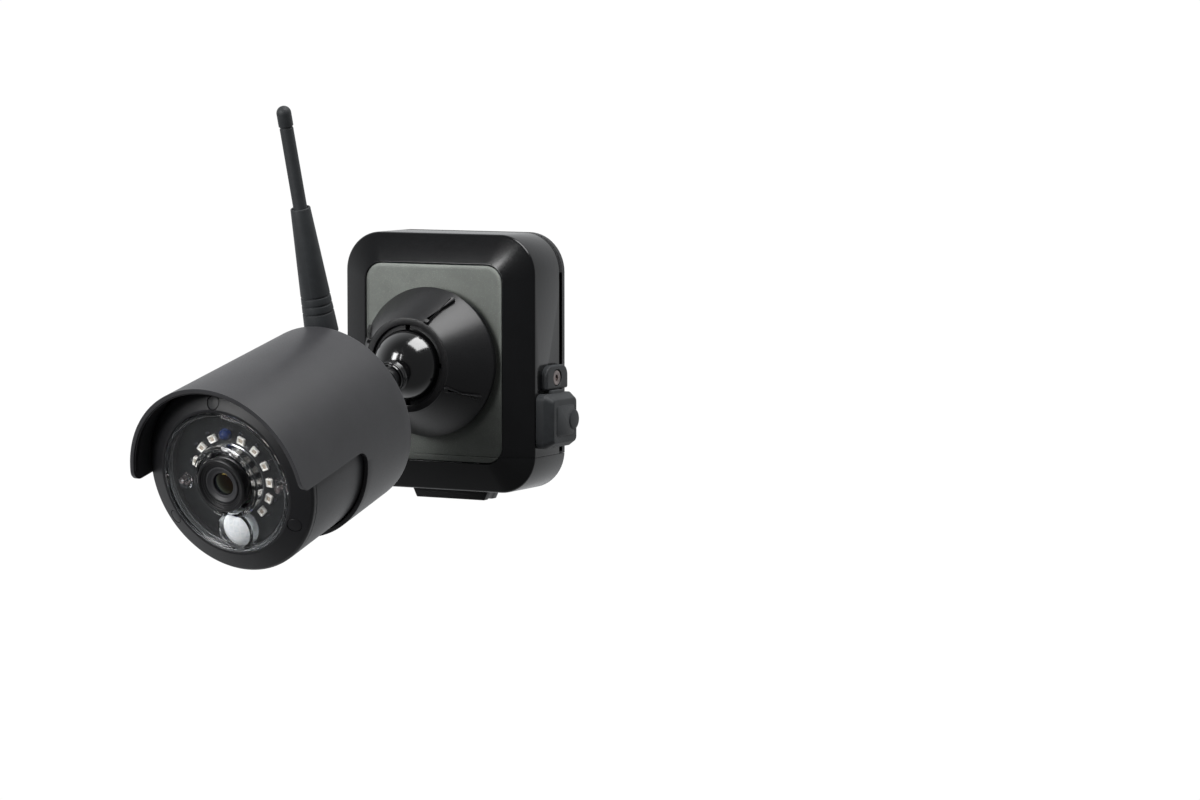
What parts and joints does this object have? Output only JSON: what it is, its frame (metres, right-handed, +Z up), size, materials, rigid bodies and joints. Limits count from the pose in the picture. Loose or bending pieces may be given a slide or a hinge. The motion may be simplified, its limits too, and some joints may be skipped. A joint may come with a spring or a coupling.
{
  "type": "outdoor security camera",
  "caption": "Bullet security camera with sun visor, folding antenna and lamp ring, on a clamped ball joint in front of a rectangular wall-mounted battery pack.",
  "frame": {"origin": "centre of the battery pack's flat back face, where it meets the wall", "axes": "+X to the right seen from the front, +Y into the wall, +Z up; the camera looks towards -Y and a little down"},
  "size_m": [0.0959, 0.1864, 0.1712],
  "materials": {
    "shell_gloss": "moulded, semi-gloss black",
    "panel_metal": "gunmetal metallic paint, fine satin",
    "shell_satin": "moulded, satin black",
    "shade_paint": "satin charcoal paint",
    "barrel_paint": "satin charcoal paint",
    "bezel_grain": "grained black",
    "rubber_trim": "soft black rubber",
    "clear_cover": "clear, polished",
    "lens_glass": "coated, dark",
    "led_body": "white ceramic package",
    "led_clear": "clear epoxy",
    "sensor_filter": "dark blue epoxy",
    "pir_white": "milky, translucent",
    "ball_gloss": "polished black",
    "mount_black": "semi-gloss black",
    "screw_steel": "plain",
    "contact_brass": "plain",
    "board_green": "solder mask",
    "board_black": "black solder mask",
    "cell_wrap": "blue film sleeve",
    "inner_plastic": "moulded, dark grey",
    "chip_black": "moulded package"
  },
  "bodies": {
    "pack": {"front_shell": "shell_gloss", "front_panel": "panel_metal", "back_cover": "shell_satin", "cover_screws": "screw_steel", "wall_insert": "contact_brass", "charge_board": "board_green", "usb_socket": "screw_steel", "button_switch": "inner_plastic", "port_anchor": "rubber_trim", "port_screw": "screw_steel", "bay_contacts": "contact_brass", "ball_socket": "mount_black", "socket_screws": "screw_steel"},
    "battery": {"battery_cap": "shell_gloss", "cap_trim": "panel_metal", "cap_seal": "rubber_trim", "battery_tray": "inner_plastic", "tray_screws": "screw_steel", "battery_cells": "cell_wrap", "cell_contacts": "contact_brass"},
    "latch": {"release_latch": "shell_satin"},
    "button": {"pair_button": "rubber_trim"},
    "port_cover": {"port_cap": "rubber_trim"},
    "clamp": {"pressure_ring": "inner_plastic"},
    "clamp_collar": {"collar": "mount_black"},
    "swivel": {"seat_pad": "rubber_trim"},
    "ball_stem": {"ball": "ball_gloss", "neck": "mount_black", "neck_nut": "screw_steel", "neck_clip": "screw_steel", "power_lead": "rubber_trim"},
    "head": {"rear_cap": "barrel_paint", "rear_gasket": "rubber_trim", "rear_screws": "screw_steel", "barrel": "barrel_paint", "sunshade": "shade_paint", "shade_screws": "screw_steel", "front_bezel": "bezel_grain", "bezel_screws": "screw_steel", "bezel_plugs": "bezel_grain", "window": "clear_cover", "window_gasket": "rubber_trim", "led_board": "board_black", "ir_leds": "led_body", "status_leds": "led_clear", "light_sensor": "sensor_filter", "pir_lens": "pir_white", "pir_sensor": "screw_steel", "lens_barrel": "mount_black", "lens_ring": "inner_plastic", "front_lens": "lens_glass", "lens_holder": "inner_plastic", "image_sensor": "chip_black", "sensor_board": "board_green", "main_board": "board_green", "board_posts": "contact_brass", "antenna_jack": "contact_brass"},
    "antenna_base": {"antenna_knuckle": "rubber_trim", "antenna_pin": "screw_steel"},
    "antenna": {"antenna_body": "rubber_trim"}
  },
  "joints": [
    {"name": "battery_slide", "type": "slide", "parent": "pack", "child": "battery", "axis": [0, 0, -1], "range_m": [0, 0.075]},
    {"name": "latch_slide", "type": "slide", "parent": "battery", "child": "latch", "axis": [0, -1, 0], "range_m": [0, 0.003]},
    {"name": "button_press", "type": "slide", "parent": "pack", "child": "button", "axis": [-1, 0, 0], "range_m": [0, 0.0007], "stiffness_N_per_m": 300, "springref_m": -0.001},
    {"name": "port_cap_hinge", "type": "hinge", "parent": "pack", "child": "port_cover", "pos_m": [0.0457, -0.0124, -0.01085], "axis": [0, -1, 0], "range_deg": [0, 100]},
    {"name": "clamp_slide", "type": "slide", "parent": "pack", "child": "clamp", "axis": [0, -1, 0], "range_m": [0, 0.0015]},
    {"name": "collar_turn", "type": "hinge", "parent": "clamp", "child": "clamp_collar", "pos_m": [0, -0.0472, 0.0005], "axis": [0, -1, 0], "range_deg": [0, 270]},
    {"name": "head_swivel", "type": "hinge", "parent": "pack", "child": "swivel", "pos_m": [0, -0.0472, 0.0005], "axis": [0, -1, 0], "range_deg": [-90, 90]},
    {"name": "head_tilt", "type": "hinge", "parent": "swivel", "child": "ball_stem", "pos_m": [0, -0.0472, 0.0005], "axis": [0.9837, 0, -0.1796], "range_deg": [-16, 24]},
    {"name": "head_roll", "type": "hinge", "parent": "ball_stem", "child": "head", "pos_m": [0, -0.0472, 0.0005], "axis": [-0.0503, -0.9599, -0.2756], "range_deg": [-90, 90]},
    {"name": "antenna_twist", "type": "hinge", "parent": "head", "child": "antenna_base", "pos_m": [-0.00707, -0.09985, 0.01029], "axis": [-0.0503, -0.9599, -0.2756], "range_deg": [-90, 90]},
    {"name": "antenna_fold", "type": "hinge", "parent": "antenna_base", "child": "antenna", "pos_m": [-0.00707, -0.09985, 0.01029], "axis": [0.9986, -0.0523, 0], "range_deg": [-20, 0]}
  ],
  "couplings": [
    {"joint": "clamp_slide", "follows": "collar_turn", "m_per_rad": 0.00031831}
  ]
}
